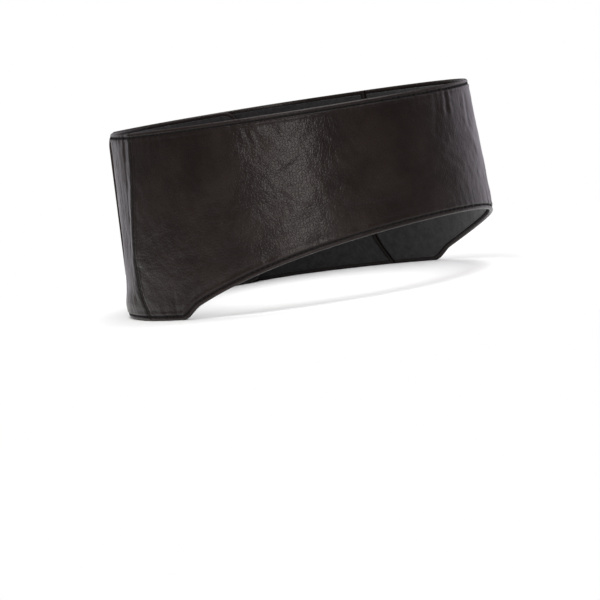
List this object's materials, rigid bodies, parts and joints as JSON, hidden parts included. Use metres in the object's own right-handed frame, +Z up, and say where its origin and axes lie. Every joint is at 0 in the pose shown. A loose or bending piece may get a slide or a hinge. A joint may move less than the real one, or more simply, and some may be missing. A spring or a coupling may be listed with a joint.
{
  "type": "ear warmer headband",
  "caption": "Wide leather ear-warmer headband, cut higher over the brow than over the ears, with overlapping back panels that close at the nape with hook and loop tape.",
  "frame": {"origin": "below the middle of the fastened band, on the surface that its lower edge stands on", "axes": "+Z up; the wearer faces -Y, so +Y is the back of the head, and the wearer's left is +X"},
  "size_m": [0.1636, 0.2054, 0.088],
  "materials": {
    "leather": "smooth full-grain, semi-matt, near-black brown",
    "lining": "short brushed fleece, charcoal",
    "padding": "thin non-woven wadding",
    "loop_tape": "black loop pile",
    "hook_tape": "black moulded hooks",
    "thread": "waxed polyester sewing thread, black"
  },
  "bodies": {
    "band": {"main_panel": "leather", "main_padding": "padding", "main_lining": "lining", "top_edge_thread": "thread", "bottom_edge_thread": "thread", "right_seam_thread": "thread", "left_seam_thread": "thread"},
    "right_back": {"right_back_panel": "leather", "right_back_lining": "lining", "right_back_edge_thread": "thread", "loop_patch": "loop_tape", "loop_patch_thread": "thread"},
    "left_back": {"left_back_panel": "leather", "left_back_lining": "lining", "left_back_edge_thread": "thread", "hook_patch": "hook_tape", "hook_patch_thread": "thread"}
  },
  "joints": [
    {"name": "left_back_opens", "type": "hinge", "parent": "band", "child": "left_back", "pos_m": [0.07377, 0.03866, 0.044], "axis": [0, 0, -1], "range_deg": [0, 75]},
    {"name": "right_back_folds_in", "type": "hinge", "parent": "band", "child": "right_back", "pos_m": [-0.06796, 0.0365, 0.044], "axis": [0, 0, -1], "range_deg": [0, 40]}
  ]
}
